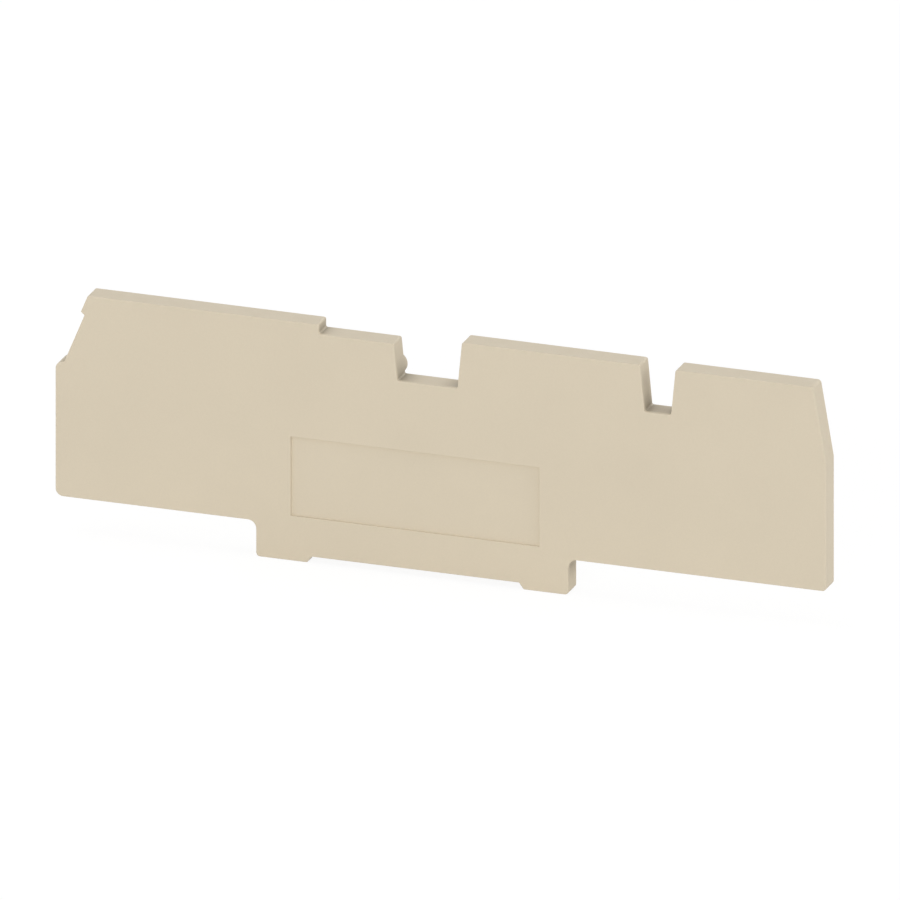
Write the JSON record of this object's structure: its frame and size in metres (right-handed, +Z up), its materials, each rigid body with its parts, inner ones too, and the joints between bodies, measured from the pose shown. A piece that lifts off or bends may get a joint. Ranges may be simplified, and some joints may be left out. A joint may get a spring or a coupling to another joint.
{
  "type": "terminal block end cover",
  "caption": "Flat moulded cover that closes the open side of the last terminal block in a row on a mounting rail.",
  "frame": {"origin": "on the mating face, above the rail's centre line, level with the rail's lips", "axes": "+X along the cover towards its plain sloping end, +Y out of the mating face towards the block that it closes, +Z up, away from the rail"},
  "size_m": [0.1022, 0.0045, 0.032],
  "materials": {
    "housing_plastic": "fine matt moulded surface, beige"
  },
  "bodies": {
    "root": {"end_cover": "housing_plastic"}
  },
  "joints": []
}
